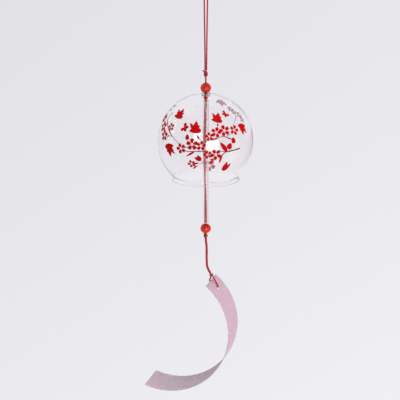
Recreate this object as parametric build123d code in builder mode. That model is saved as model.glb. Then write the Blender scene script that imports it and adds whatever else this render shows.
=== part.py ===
"""A Japanese glass wind bell (furin), held by one doubled cord.

The cord hangs over a hook in a narrow loop. It is tied in an upper knot, and runs down through a
bead, a clear washer, the hole in the crown of the blown glass bell and a second washer to a stopper
knot, which carries the bell. Inside, the same two strands run through a clear glass tube, the
clapper, and through a second bead to the lower knot. Below it they are twisted into a tail that is
tied to the punched hole of a curled paper strip, which catches the wind.

Frame: the origin is the inside top of the hanging loop, +Z points up, +X to the right of the front
view and +Y away from it. All lengths are in millimetres.
"""

import math
import os

from build123d import *

os.makedirs("parts", exist_ok=True)

# Cord
strand_diameter = 1.15
strand_pitch_share = 0.87
tail_diameter = 1.7
cord_clearance = 0.2
bend_share = 0.45

# Hanging loop
hanging_length = 76.1
hook_diameter = 2.0
strand_parting = 0.05
strands_together = 11.0

# Knots: turns of the strand round the doubled cord
upper_knot_turns = 4
stopper_knot_turns = 2
lower_knot_turns = 3
strip_knot_turns = 2
cut_end_length = 2.6
cut_end_angle = 38.0

# Where the cord bends at a knot it has a rounded end, and the bend turns about its centre
bend_gap = 0.1
seat_gap = 0.05

# Beads
bead_diameter = 9.0
bead_height = 8.5
bead_rim_round = 0.25
bead_travel = 3.7
bead_stop = 1.0

# Clear washers above and below the glass
washer_diameter = 7.7
washer_thickness = 0.8
washer_round = 0.2

# Blown glass bell
bell_diameter = 80.0
bell_wall = 1.4
waist_diameter = 54.4
lip_diameter = 56.4
collar_height = 3.2
waist_round = 0.9
crown_hole_diameter = 6.0
fire_polish_share = 0.45

# Clapper: a clear glass tube
tube_diameter = 5.3
tube_wall = 1.0
tube_length = 104.8
tube_drop = 0.2

# Tail: its bends in the front plane, each sideways and down from the bend under the lower knot
tail_route_offsets = [(0.0, 0.0), (0.95, -8.4), (0.75, -16.0), (1.1, -23.0)]

# Lead from the tail's lower bend to the strip's knot, in the plane of the curl
lead_route_offsets = [(0.0, 0.0), (0.9, -3.2), (3.3, -7.1)]

# Paper strip: flat across, curled along its length to one radius
strip_width = 36.0
strip_length = 152.0
strip_thickness = 0.35
curl_radius = 54.1
curl_heading = -13.8
top_slope = 39.8
hole_diameter = 3.8
hole_from_top = 9.1
knot_past_edge = 2.6
knot_off_face = 4.0

# Loop through the hole: distance along the strip from its top edge, and off its middle surface
loop_fold_diameter = 2.3
loop_hole_gap = 0.2

# Sizes that follow
strand_radius = strand_diameter / 2
tail_radius = tail_diameter / 2
strand_pitch = strand_diameter * strand_pitch_share
twin_half_width = (strand_pitch + strand_diameter) / 2
cord_bore_radius = twin_half_width + cord_clearance
bead_radius = bead_diameter / 2
washer_radius = washer_diameter / 2
bell_radius = bell_diameter / 2
inner_radius = bell_radius - bell_wall
crown_hole_radius = crown_hole_diameter / 2
waist_radius = waist_diameter / 2
lip_radius = lip_diameter / 2
tube_radius = tube_diameter / 2
tube_bore_radius = tube_radius - tube_wall
polish_radius = bell_wall * fire_polish_share
tube_polish_radius = tube_wall * fire_polish_share


def sphere_height(radius, offset):
    """Height of a sphere's surface above its centre, at a distance from its axis."""
    return math.sqrt(radius**2 - offset**2)


def bead_surface(offset):
    """Height of the bead's surface above its centre, at a distance from its axis."""
    return bead_height / 2 * math.sqrt(1 - (offset / bead_radius) ** 2)


# Heights of the stack, from the loop down
upper_knot_top = -hanging_length
upper_knot_bottom = upper_knot_top - upper_knot_turns * strand_diameter
hang_bend = upper_knot_bottom - bend_gap - strand_radius
bead_rim = bead_surface(cord_bore_radius)
upper_bead_middle = hang_bend - bead_stop - bead_travel - bead_rim
upper_washer_top = upper_bead_middle - bead_rim - seat_gap
upper_washer_bottom = upper_washer_top - washer_thickness
bell_middle = upper_washer_bottom - seat_gap - sphere_height(bell_radius, crown_hole_radius + polish_radius)
lower_washer_top = bell_middle + sphere_height(inner_radius, washer_radius) - seat_gap
lower_washer_bottom = lower_washer_top - washer_thickness
stopper_knot_top = lower_washer_bottom - seat_gap
stopper_knot_bottom = stopper_knot_top - stopper_knot_turns * strand_diameter
clapper_bend = stopper_knot_bottom - bend_gap - strand_radius
tube_top = clapper_bend - tube_drop
tube_bottom = tube_top - tube_length
lower_bead_middle = tube_bottom - seat_gap - bead_surface(tube_bore_radius)
lower_knot_top = lower_bead_middle - bead_rim - seat_gap
lower_knot_bottom = lower_knot_top - lower_knot_turns * strand_diameter
tail_bend = lower_knot_bottom - bend_gap - tail_radius


def bend_radii(name, route):
    """Bend radius at each inner point of a route: each arc takes up a share of its shorter run."""
    points = [Vector(*point) for point in route]
    radii = []
    for before, here, after in zip(points, points[1:], points[2:]):
        turn = math.radians((here - before).get_angle(after - here))
        shorter = min((here - before).length, (after - here).length)
        radii.append(bend_share * shorter / math.tan(turn / 2))
    print(name, "bend radii", [round(radius, 2) for radius in radii])
    return radii


def twin_profile(height, heading):
    """Section of two strands side by side, at one height."""
    with BuildSketch(Plane(origin=(0, 0, height), x_dir=heading, z_dir=(0, 0, 1))) as profile:
        with Locations((-strand_pitch / 2, 0), (strand_pitch / 2, 0)):
            Circle(strand_radius)
    return profile.sketch


def knot_profile(top, direction, turns):
    """Half section of turns of the strand round the doubled cord, from the top face down."""
    across = Vector(0, 1, 0).cross(direction)
    with BuildSketch(Plane(origin=top, x_dir=across, z_dir=across.cross(direction))) as profile:
        with BuildLine():
            Line((0, 0), (strand_diameter, 0))
            for turn in range(turns):
                start = -turn * strand_diameter
                ThreePointArc(
                    (strand_diameter, start),
                    (strand_diameter + strand_radius, start - strand_radius),
                    (strand_diameter, start - strand_diameter),
                )
            Line((strand_diameter, -turns * strand_diameter), (0, -turns * strand_diameter))
            Line((0, -turns * strand_diameter), (0, 0))
        make_face()
    return profile.sketch


def bead_profile(middle):
    """Half section of a round bead, a little flattened, outside its bore."""
    with BuildSketch(Plane.XZ) as profile:
        with Locations((0, middle)):
            Ellipse(bead_radius, bead_height / 2)
            Rectangle(2 * cord_bore_radius, bead_height, mode=Mode.SUBTRACT)
        with Locations((-bead_radius, middle)):
            Rectangle(bead_diameter, bead_height, mode=Mode.SUBTRACT)
    return profile.sketch


def washer_profile(top):
    """Outline of a clear washer, at the height of its upper face."""
    with BuildSketch(Plane.XY.offset(top)) as profile:
        Circle(washer_radius)
        Circle(cord_bore_radius, mode=Mode.SUBTRACT)
    return profile.sketch


# Hanging cord: both strands rise together from the knot, part, and pass over the hook
loop_radius = hook_diameter / 2 + strand_radius
loop_middle = -hook_diameter / 2
strand_offset = (strand_diameter + strand_parting) / 2
parting_height = upper_knot_top + strands_together
rise = loop_middle - parting_height
lean = math.asin(loop_radius / math.hypot(strand_offset, rise)) - math.atan(strand_offset / rise)
left_foot = Vector(-strand_offset, 0, upper_knot_top)
left_parting = Vector(-strand_offset, 0, parting_height)
left_touch = Vector(-loop_radius * math.cos(lean), 0, loop_middle - loop_radius * math.sin(lean))
loop_top = Vector(0, 0, loop_middle + loop_radius)
right_touch = Vector(-left_touch.X, 0, left_touch.Z)
right_parting = Vector(strand_offset, 0, parting_height)
right_foot = Vector(strand_offset, 0, upper_knot_top)
left_leg = [left_foot, left_parting, left_touch]
right_leg = [right_touch, right_parting, right_foot]

with BuildPart() as hanging_cord:
    with BuildLine():
        FilletPolyline(*left_leg, radius=bend_radii("hanging cord, left leg", left_leg))
        ThreePointArc(left_touch, loop_top, right_touch)
        FilletPolyline(*right_leg, radius=bend_radii("hanging cord, right leg", right_leg))
    with BuildSketch(Plane(origin=left_foot, z_dir=(0, 0, 1))):
        Circle(strand_radius)
    sweep()
hanging_cord.part.label = "hanging_cord"
export_step(hanging_cord.part, "parts/hanging_cord.step")

# Upper knot, with the cut end of the cord standing out of its left side
cut_end_root = Vector(-strand_radius, 0, upper_knot_top - strand_diameter)
cut_end_way = Vector(-math.cos(math.radians(cut_end_angle)), 0, math.sin(math.radians(cut_end_angle)))

with BuildPart() as upper_knot:
    revolve(knot_profile(Vector(0, 0, upper_knot_top), Axis.Z.direction, upper_knot_turns), axis=Axis.Z)
    with BuildSketch(Plane(origin=cut_end_root, z_dir=cut_end_way)):
        Circle(strand_radius)
    extrude(amount=cut_end_length)
upper_knot.part.label = "upper_knot"
export_step(upper_knot.part, "parts/upper_knot.step")

# Neck cord: from the upper knot through the bead and the crown to the stopper knot
with BuildPart() as neck_cord:
    extrude(twin_profile(hang_bend, (0, 1, 0)), amount=stopper_knot_top + seat_gap - hang_bend)
    with Locations((0, 0, hang_bend)):
        Sphere(strand_radius)
neck_cord.part.label = "neck_cord"
export_step(neck_cord.part, "parts/neck_cord.step")

# Upper bead
with BuildPart() as upper_bead:
    revolve(bead_profile(upper_bead_middle), axis=Axis.Z)
    fillet(upper_bead.edges().filter_by(GeomType.CIRCLE), bead_rim_round)
upper_bead.part.label = "upper_bead"
export_step(upper_bead.part, "parts/upper_bead.step")

# Washers on both sides of the glass
with BuildPart() as upper_washer:
    extrude(washer_profile(upper_washer_top), amount=-washer_thickness)
    fillet(upper_washer.edges().filter_by(GeomType.CIRCLE), washer_round)
upper_washer.part.label = "upper_washer"
export_step(upper_washer.part, "parts/upper_washer.step")

with BuildPart() as lower_washer:
    extrude(washer_profile(lower_washer_top), amount=-washer_thickness)
    fillet(lower_washer.edges().filter_by(GeomType.CIRCLE), washer_round)
lower_washer.part.label = "lower_washer"
export_step(lower_washer.part, "parts/lower_washer.step")

# Glass bell: a blown sphere, opened at the crown, drawn in to a waist and flared to a short collar
waist_inner_radius = waist_radius - bell_wall
lip_inner_radius = lip_radius - bell_wall
crown_outer_height = bell_middle + sphere_height(bell_radius, crown_hole_radius)
crown_inner_height = bell_middle + sphere_height(inner_radius, crown_hole_radius)
waist_outer_height = bell_middle - sphere_height(bell_radius, waist_radius)
waist_inner_height = bell_middle - sphere_height(inner_radius, waist_inner_radius)
lip_height = waist_outer_height - collar_height

with BuildPart() as glass_bell:
    with BuildSketch(Plane.XZ):
        with BuildLine():
            ThreePointArc(
                (crown_hole_radius, crown_outer_height),
                (bell_radius, bell_middle),
                (waist_radius, waist_outer_height),
            )
            Line((waist_radius, waist_outer_height), (lip_radius, lip_height))
            Line((lip_radius, lip_height), (lip_inner_radius, lip_height))
            Line((lip_inner_radius, lip_height), (waist_inner_radius, waist_inner_height))
            ThreePointArc(
                (waist_inner_radius, waist_inner_height),
                (inner_radius, bell_middle),
                (crown_hole_radius, crown_inner_height),
            )
            Line((crown_hole_radius, crown_inner_height), (crown_hole_radius, crown_outer_height))
        make_face()
    revolve(axis=Axis.Z)
    rings = glass_bell.edges().filter_by(GeomType.CIRCLE)
    lip_rings = rings.group_by(Axis.Z)[0]
    waist_rings = rings.group_by(Axis.Z)[1] + rings.group_by(Axis.Z)[2]
    crown_rings = rings.sort_by(Axis.Z)[-2:]
    fillet(lip_rings + crown_rings, polish_radius)
    fillet(waist_rings, waist_round)
glass_bell.part.label = "glass_bell"
export_step(glass_bell.part, "parts/glass_bell.step")

# Stopper knot, under the lower washer
with BuildPart() as stopper_knot:
    revolve(
        knot_profile(Vector(0, 0, stopper_knot_top), Axis.Z.direction, stopper_knot_turns),
        axis=Axis.Z,
    )
stopper_knot.part.label = "stopper_knot"
export_step(stopper_knot.part, "parts/stopper_knot.step")

# Clapper cord: both strands side by side down the tube and through the lower bead
with BuildPart() as clapper_cord:
    extrude(twin_profile(clapper_bend, (1, 0, 0)), amount=lower_knot_top + seat_gap - clapper_bend)
    with Locations((0, 0, clapper_bend)):
        Sphere(strand_radius)
clapper_cord.part.label = "clapper_cord"
export_step(clapper_cord.part, "parts/clapper_cord.step")

# Clapper tube, with fire-polished ends
with BuildPart() as clapper_tube:
    with BuildSketch(Plane.XY.offset(tube_top)):
        Circle(tube_radius)
        Circle(tube_bore_radius, mode=Mode.SUBTRACT)
    extrude(amount=-tube_length)
    fillet(clapper_tube.edges().filter_by(GeomType.CIRCLE), tube_polish_radius)
clapper_tube.part.label = "clapper_tube"
export_step(clapper_tube.part, "parts/clapper_tube.step")

# Lower bead, on which the tube stands
with BuildPart() as lower_bead:
    revolve(bead_profile(lower_bead_middle), axis=Axis.Z)
    fillet(lower_bead.edges().filter_by(GeomType.CIRCLE), bead_rim_round)
lower_bead.part.label = "lower_bead"
export_step(lower_bead.part, "parts/lower_bead.step")

# Lower knot, which carries the bead and the tube
with BuildPart() as lower_knot:
    revolve(knot_profile(Vector(0, 0, lower_knot_top), Axis.Z.direction, lower_knot_turns), axis=Axis.Z)
lower_knot.part.label = "lower_knot"
export_step(lower_knot.part, "parts/lower_knot.step")

# Tail cord: the two strands twisted into one, down to its lower bend
tail_route = [Vector(side, 0, tail_bend + down) for side, down in tail_route_offsets]

with BuildPart() as tail_cord:
    with BuildLine():
        FilletPolyline(*tail_route, radius=bend_radii("tail cord", tail_route))
    with BuildSketch(Plane(origin=tail_route[0], z_dir=tail_route[1] - tail_route[0])):
        Circle(tail_radius)
    sweep()
    with Locations(tail_route[0]):
        Sphere(tail_radius)
tail_cord.part.label = "tail_cord"
export_step(tail_cord.part, "parts/tail_cord.step")

# Plane of the curl: it stands upright through the tail's lower bend, x along it and y up
tail_way = (tail_route[-1] - tail_route[-2]).normalized()
strip_bend = tail_route[-1] + tail_way * (tail_radius + bend_gap)
heading = math.radians(curl_heading)
curl_plane = Plane(
    origin=strip_bend,
    x_dir=(math.cos(heading), math.sin(heading), 0),
    z_dir=(math.sin(heading), -math.cos(heading), 0),
)


def in_curl(across, height):
    """Point of the model at a place in the plane of the curl."""
    return curl_plane.from_local_coords(Vector(across, height, 0))


# Lead: the end of the tail, bent over towards the strip
lead_route = [in_curl(across, height) for across, height in lead_route_offsets]

with BuildPart() as strip_lead:
    with BuildLine():
        FilletPolyline(*lead_route, radius=bend_radii("strip lead", lead_route))
    with BuildSketch(Plane(origin=lead_route[0], z_dir=lead_route[1] - lead_route[0])):
        Circle(tail_radius)
    sweep()
    with Locations(lead_route[0]):
        Sphere(tail_radius)
strip_lead.part.label = "strip_lead"
export_step(strip_lead.part, "parts/strip_lead.step")

# Strip knot, in line with the end of the lead
lead_way = (lead_route[-1] - lead_route[-2]).normalized()
strip_knot_height = strip_knot_turns * strand_diameter

with BuildPart() as strip_knot:
    revolve(
        knot_profile(lead_route[-1], -lead_way, strip_knot_turns),
        axis=Axis(lead_route[-1], lead_way),
    )
strip_knot.part.label = "strip_knot"
export_step(strip_knot.part, "parts/strip_knot.step")

# Curl of the strip: an arc in its plane, placed from the knot above the top edge
slope = math.radians(top_slope)
along_top = Vector(math.cos(slope), -math.sin(slope), 0)
off_top = Vector(math.sin(slope), math.cos(slope), 0)
knot_middle = curl_plane.to_local_coords(lead_route[-1] + lead_way * (strip_knot_height / 2))
top_edge = knot_middle + along_top * knot_past_edge - off_top * knot_off_face
curl_middle = top_edge - off_top * curl_radius
start_angle = math.pi / 2 - slope


def on_strip(along, off):
    """Place in the curl plane, from the distance along the strip and off its middle surface."""
    angle = start_angle - along / curl_radius
    reach = curl_radius + off
    return Vector(
        curl_middle.X + reach * math.cos(angle),
        curl_middle.Y + reach * math.sin(angle),
        0,
    )


half_thickness = strip_thickness / 2
hole_middle = curl_plane.from_local_coords(on_strip(hole_from_top, 0))
hole_axis = hole_middle - curl_plane.from_local_coords(curl_middle)

with BuildPart() as paper_strip:
    with BuildSketch(curl_plane):
        with BuildLine():
            outer = [on_strip(strip_length * share, half_thickness) for share in (0, 1 / 2, 1)]
            inner = [on_strip(strip_length * share, -half_thickness) for share in (1, 1 / 2, 0)]
            ThreePointArc(*outer)
            Line(outer[-1], inner[0])
            ThreePointArc(*inner)
            Line(inner[-1], outer[0])
        make_face()
    extrude(amount=strip_width / 2, both=True)
    with BuildSketch(Plane(origin=hole_middle, z_dir=hole_axis)):
        Circle(hole_diameter / 2)
    extrude(amount=hole_diameter, both=True, mode=Mode.SUBTRACT)
paper_strip.part.label = "paper_strip"
export_step(paper_strip.part, "parts/paper_strip.step")

# Strip loop: one strand from the knot along the outer face, through the hole and back round the edge
fold = loop_fold_diameter / 2
fold_place = hole_from_top - hole_diameter / 2 + loop_hole_gap + strand_radius
loop_route_places = [
    (-1.35, 4.1),
    (0.7, 3.3),
    (4.4, 1.9),
    (fold_place, fold),
    (fold_place, -fold),
    (4.3, -1.35),
    (1.2, -1.25),
    (-0.85, -0.75),
    (-1.45, 1.0),
    (-1.8, 2.9),
]
loop_route = [curl_plane.from_local_coords(on_strip(along, off)) for along, off in loop_route_places]

with BuildPart() as strip_loop:
    with BuildLine():
        FilletPolyline(*loop_route, radius=bend_radii("strip loop", loop_route))
    with BuildSketch(Plane(origin=loop_route[0], z_dir=loop_route[1] - loop_route[0])):
        Circle(strand_radius)
    sweep()
strip_loop.part.label = "strip_loop"
export_step(strip_loop.part, "parts/strip_loop.step")

print("crown", round(bell_middle + bell_radius, 2), "lip", round(lip_height, 2))
print("bends", [round(height, 3) for height in (hang_bend, clapper_bend, tail_bend)], strip_bend)
print("tube", round(tube_top, 2), round(tube_bottom, 2), "beads", upper_bead_middle, lower_bead_middle)
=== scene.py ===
"""Looks of a glass wind bell: a printed glass globe on a doubled red cord, with a glass tube for a
clapper, two red beads and a curled paper strip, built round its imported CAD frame.

Every length is in metres in the frame of the CAD model. The origin is the inside top of the hanging
loop, +Z points up, +X is to the right of the front view and +Y away from it.
"""

import math

import bmesh
import bpy
import numpy as np
from bpy.props import FloatProperty, FloatVectorProperty, IntProperty, PointerProperty
from mathutils import Matrix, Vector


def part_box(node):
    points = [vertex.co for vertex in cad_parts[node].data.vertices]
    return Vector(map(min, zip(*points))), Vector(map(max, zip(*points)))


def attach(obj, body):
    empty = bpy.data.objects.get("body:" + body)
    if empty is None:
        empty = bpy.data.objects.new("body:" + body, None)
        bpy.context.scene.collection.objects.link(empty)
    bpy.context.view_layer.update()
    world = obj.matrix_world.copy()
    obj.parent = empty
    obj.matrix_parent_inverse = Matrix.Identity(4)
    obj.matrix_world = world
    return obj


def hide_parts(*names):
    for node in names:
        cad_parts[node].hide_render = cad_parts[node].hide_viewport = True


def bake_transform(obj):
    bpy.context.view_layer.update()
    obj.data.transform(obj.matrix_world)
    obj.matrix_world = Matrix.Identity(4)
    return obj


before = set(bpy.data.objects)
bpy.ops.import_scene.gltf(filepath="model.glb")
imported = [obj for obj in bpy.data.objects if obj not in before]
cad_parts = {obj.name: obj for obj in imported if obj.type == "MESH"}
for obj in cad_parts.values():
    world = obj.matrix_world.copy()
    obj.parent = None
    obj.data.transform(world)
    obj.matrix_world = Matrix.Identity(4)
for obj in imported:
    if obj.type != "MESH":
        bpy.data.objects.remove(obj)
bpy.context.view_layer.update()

bl_info = {
    "name": "Glass wind bell",
    "version": (1, 0, 0),
    "blender": (4, 5, 0),
    "location": "3D View > Sidebar > Wind Bell",
    "description": "Builds the looks of a glass wind bell round its packed CAD frame",
    "category": "Object",
}

MM = 0.001

# Heights of the stack, repeated from the part's source
UPPER_KNOT_TOP = -76.1 * MM
HANG_BEND = -81.375 * MM
STOPPER_KNOT_TOP = -97.454 * MM
CLAPPER_BEND = -100.429 * MM
LOWER_KNOT_TOP = -213.833 * MM
TAIL_BEND = -217.959 * MM

# Cord routes, repeated from the part's source: across and up, in the plane that each lies in
HANGING_ROUTE = np.array([
    (-0.6, -76.1), (-0.6, -65.1), (-1.49, -8.0), (-1.575, -1.6), (-1.575, 0.575),
    (1.575, 0.575), (1.575, -1.6), (1.49, -8.0), (0.6, -65.1), (0.6, -76.1),
]) * MM
TAIL_ROUTE = np.array([(0.0, 0.0), (0.95, -8.4), (0.75, -16.0), (1.1, -23.0)]) * MM
LEAD_ROUTE = np.array([(0.0, 0.0), (0.9, -3.2), (3.3, -7.1)]) * MM
LOOP_ROUTE = np.array([
    (-1.35, 4.1), (0.7, 3.3), (4.4, 1.9), (7.975, 1.15), (7.975, -1.15),
    (4.3, -1.35), (1.2, -1.25), (-0.85, -0.75), (-1.45, 1.0), (-1.8, 2.9),
]) * MM
STRIP_BEND = np.array([1.14744, 0.0, -241.908]) * MM
# The strip's curl, repeated from the part's source: its heading from +X, the slope of its top edge,
# how far its knot's middle lies past that edge and off its face, and its punched hole
CURL_HEADING = math.radians(-13.8)
TOP_SLOPE = math.radians(39.8)
KNOT_PAST_EDGE = 2.6 * MM
KNOT_OFF_FACE = 4.0 * MM
HOLE_FROM_TOP = 9.1 * MM
HOLE_DIAMETER = 3.8 * MM
STRIP_KNOT_TURNS = 2
# Directions: away from the viewer, up, and level along the strip's curl and across it
AWAY = np.array([0.0, 1.0, 0.0])
UP = np.array([0.0, 0.0, 1.0])
CURL_LEVEL = np.array([math.cos(CURL_HEADING), math.sin(CURL_HEADING), 0.0])
CURL_SIDE = np.array([math.sin(CURL_HEADING), -math.cos(CURL_HEADING), 0.0])
# The front view: the camera's place, its tilt below the level, its lens and its frame
CAMERA_PLACE = np.array([-4.76, -1138.5, 88.4]) * MM
VIEW_TILT = math.radians(13.5)
CAMERA_LENS = 125.9
SENSOR_WIDTH = 36.0
FRAME_PIXELS = 400


# Sizes and colours that a user would change


def length_prop(name, description, default):
    """A property that holds a length."""
    return FloatProperty(name=name, description=description, default=default, unit="LENGTH", precision=5)


def colour_prop(name, description, default):
    """A property that holds a colour."""
    return FloatVectorProperty(name=name, description=description, default=default, subtype="COLOR")


class WindBellSizes(bpy.types.PropertyGroup):
    """Sizes of the made pieces."""

    strand: length_prop("Strand", "Diameter of one strand of the cord", 1.15 * MM)
    tail: length_prop("Tail", "Diameter of the two strands twisted into the tail", 1.7 * MM)
    ply_lay: length_prop("Ply lay", "Length of one turn of the plies in a strand", 3.4 * MM)
    wall: length_prop("Glass wall", "Thickness of the blown glass", 1.4 * MM)
    waist: length_prop("Waist", "Outer diameter of the glass at its waist", 54.4 * MM)
    lip: length_prop("Lip", "Outer diameter of the collar at its lip", 56.4 * MM)
    crown_hole: length_prop("Crown hole", "Diameter of the hole in the crown", 6.0 * MM)
    tube_wall: length_prop("Tube wall", "Thickness of the clapper tube's glass", 1.0 * MM)
    enamel: length_prop("Enamel", "Thickness of the red print on the glass", 0.07 * MM)
    strip_width: length_prop("Strip width", "Width of the paper strip", 36.0 * MM)
    strip_length: length_prop("Strip length", "Length of the paper strip along its curl", 152.0 * MM)
    paper: length_prop("Paper", "Thickness of the paper strip", 0.35 * MM)
    curl_radius: length_prop("Curl radius", "Radius to which the strip has curled", 54.1 * MM)
    globe_segments: IntProperty(
        name="Globe segments", description="Faces round the glass globe", default=192, min=48)


class WindBellColours(bpy.types.PropertyGroup):
    """Colours of the finishes, in scene linear values."""

    cord: colour_prop("Cord", "Twisted cord", (0.40, 0.007, 0.014))
    # The cord's red, painted paler and pinker for the cord inside the bell: a painted reflection of the
    # clapper tube's glass over it
    cord_with_painted_reflection: colour_prop("Cord in the tube", "The cord that runs in the bell", (0.62, 0.07, 0.085))
    bead: colour_prop("Bead", "Glossy beads", (0.74, 0.022, 0.001))
    enamel: colour_prop("Enamel", "Print on the glass, outer face", (0.53, 0.003, 0.004))
    # Paler and pinker than the enamel: painted light, standing in for lamplight seen through the far prints
    # and the glass's reflections over them
    enamel_back_with_painted_light: colour_prop("Enamel back", "Print as seen through the glass", (0.78, 0.14, 0.20))
    twig: colour_prop("Twig", "Thin lines of the print", (0.19, 0.035, 0.045))
    paper_out: colour_prop("Paper, outer face", "Plain face of the strip", (0.62, 0.42, 0.515))
    paper_in: colour_prop("Paper, inner face", "Printed face of the strip", (0.67, 0.50, 0.58))
    paper_print: colour_prop("Strip print", "Pale flowers on the strip", (0.66, 0.62, 0.65))
    backdrop: colour_prop("Backdrop", "Floor and background", (0.848, 0.838, 0.880))


# Shader maths


def arithmetic(operation, swapped=False):
    """An operator of Wire, which adds the Math node of its operation."""
    def work(wire, other):
        pair = (other, wire) if swapped else (wire, other)
        return wire.finish.maths(operation, *pair)

    return work


class Wire:
    """A socket of a finish. An operator on it adds the Math node that works it out."""

    def __init__(self, finish, socket):
        self.finish, self.socket = finish, socket

    __add__ = __radd__ = arithmetic("ADD")
    __sub__ = arithmetic("SUBTRACT")
    __rsub__ = arithmetic("SUBTRACT", swapped=True)
    __mul__ = __rmul__ = arithmetic("MULTIPLY")
    __truediv__ = arithmetic("DIVIDE")
    __pow__ = arithmetic("POWER")


class Finish:
    """A material or world being made: node() adds any node and gives back one of its outputs."""

    def __init__(self, owner):
        owner.use_nodes = True
        self.owner, self.tree = owner, owner.node_tree
        self.tree.nodes.clear()

    def node(self, kind, values=None, output=0, **settings):
        made = self.tree.nodes.new(kind)
        for name, value in settings.items():
            setattr(made, name, value)
        for name, value in (values or {}).items():
            if isinstance(value, Wire):
                self.tree.links.new(value.socket, made.inputs[name])
            elif value is not None:
                made.inputs[name].default_value = value
        return Wire(self, made.outputs[output]) if made.outputs else None

    def maths(self, operation, first, second=None):
        return self.node("ShaderNodeMath", {0: first, 1: second}, operation=operation)

    def noise(self, place, scale, detail=3.0, roughness=0.55):
        return self.node("ShaderNodeTexNoise", {
            "Vector": place, "Scale": scale, "Detail": detail, "Roughness": roughness}, "Fac")

    def place(self, kind="Object"):
        return self.node("ShaderNodeTexCoord", output=kind)

    def axis(self, name):
        """The X, Y or Z of the place on the object."""
        return self.node("ShaderNodeSeparateXYZ", {"Vector": self.place()}, name)

    def stretched(self, place, scale):
        return self.node("ShaderNodeMapping", {"Vector": place, "Scale": scale})

    def towards(self, place, way):
        """How far a place lies along a direction."""
        return self.node("ShaderNodeVectorMath", {0: place, 1: way}, "Value", operation="DOT_PRODUCT")

    def smooth(self, value, low, high):
        """Share of the way from low to high, with a soft start and end."""
        return self.node("ShaderNodeMapRange", {"Value": value, "From Min": low, "From Max": high},
                         interpolation_type="SMOOTHSTEP")

    def ray(self, name):
        return self.node("ShaderNodeLightPath", output=name)

    def reflected(self):
        """1 for what is seen in a reflection, however the ray went on, and otherwise 0."""
        return self.maths("MINIMUM", self.ray("Glossy Depth"), 1.0)

    def viewed(self, share):
        """1 for camera and transmission rays, a share for glossy ones, and 0 for all others."""
        seen = self.ray("Is Camera Ray") + self.ray("Is Transmission Ray")
        return seen + self.ray("Is Glossy Ray") * share

    def mixed(self, share, first, second):
        """Colour between first and second, by a share from 0 to 1."""
        return self.node("ShaderNodeMix", {"Factor": share, 6: first, 7: second}, 2, data_type="RGBA")

    def varied(self, share, colour, darkest, lightest):
        """A colour times a factor between darkest and lightest, by a share from 0 to 1."""
        return self.mixed(share, opaque(colour, darkest), opaque(colour, lightest))

    def bump(self, height, distance, strength):
        return self.node("ShaderNodeBump", {
            "Height": height, "Distance": distance, "Strength": strength})

    def principled(self, values):
        return self.node("ShaderNodeBsdfPrincipled", values)

    def mix_shader(self, share, first, second):
        return self.node("ShaderNodeMixShader", {0: share, 1: first, 2: second})

    def done(self, surface, volume=None, kind="ShaderNodeOutputMaterial"):
        self.node(kind, {"Surface": surface, "Volume": volume})
        return self.owner


def finish(name):
    return Finish(bpy.data.materials.new(name))


def opaque(colour, factor=1.0):
    """A colour with its alpha, made darker or lighter by a factor."""
    return (*(min(1.0, part * factor) for part in colour), 1.0)


# Materials


def cord_finish(name, colour):
    """Twisted yarn: fine fibres along the lay, a soft sheen and slightly uneven dye."""
    made = finish(name)
    fibres = made.noise(made.stretched(made.place("UV"), (26.0, 2200.0, 1.0)), 1.0, 2.0)
    dye = made.noise(made.place(), 260.0, 4.0)
    return made.done(made.principled({
        "Base Color": made.varied(dye * 0.6 + fibres * 0.4, colour, 0.72, 1.35),
        "Roughness": 0.42 + fibres * 0.25,
        "Sheen Weight": 0.12,
        "Sheen Roughness": 0.4,
        "Sheen Tint": opaque((1.0, 0.55, 0.6)),
        "Normal": made.bump(fibres, 0.05 * MM, 0.6),
    }))


def bead_finish(name, colour, middle, half_height):
    """Polished translucent resin with faint swirls. Its shade is painted on: full colour round its waist,
    falling to a deep red towards the bore at its top and bottom, by the cube of the share of its half
    height."""
    made = finish(name)
    swirl = made.noise(made.place(), 330.0, 3.0, 0.6)
    # Painted shade: the colour darkens towards the top and bottom of the bead
    painted_shade_from_waist = made.maths("ABSOLUTE", (made.axis("Z") - middle) / half_height)
    return made.done(made.principled({
        "Base Color": made.mixed(painted_shade_from_waist**3.0, made.varied(swirl, colour, 0.8, 1.15),
                                 opaque(colour, 0.18)),
        "Roughness": 0.06 + swirl * 0.06,
        "IOR": 1.25,
        "Coat Weight": 0.6,
        "Coat Roughness": 0.02,
    }))


# What lamplight keeps as it passes a wall of glass, and the colour that deep glass tends to
LAMPLIGHT_KEPT = (0.97, 0.97, 0.97)
DEEP_GLASS = (0.62, 0.50, 0.55)


def glass_finish(name, ripple, density, index=1.47, tint=(1.0, 1.0, 1.0)):
    """Clear glass that lets lamplight through: faint ripples from blowing, and a tinge that deepens
    with the way through it."""
    made = finish(name)
    waves = made.noise(made.place(), ripple, 2.0, 0.4)
    clear = made.principled({
        "Base Color": opaque(tint),
        "Roughness": 0.0,
        "IOR": index,
        "Transmission Weight": 1.0,
        "Normal": made.bump(waves, 0.12 * MM, 0.16),
    })
    to_lamps = made.node("ShaderNodeBsdfTransparent", {"Color": opaque(LAMPLIGHT_KEPT)})
    surface = made.mix_shader(made.ray("Is Shadow Ray"), clear, to_lamps)
    tinge = made.node("ShaderNodeVolumeAbsorption", {"Color": opaque(DEEP_GLASS), "Density": density})
    return made.done(surface, tinge)


def enamel_finish(name, colour, roughness):
    """Screen-printed enamel: an even colour with the faint unevenness of a thin layer."""
    made = finish(name)
    patches = made.noise(made.place(), 420.0, 4.0)
    return made.done(made.principled({
        "Base Color": made.varied(patches, colour, 0.86, 1.14),
        "Roughness": roughness + patches * 0.12,
        "Specular IOR Level": 0.04,
        "Normal": made.bump(patches, 0.01 * MM, 0.4),
    }))


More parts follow.
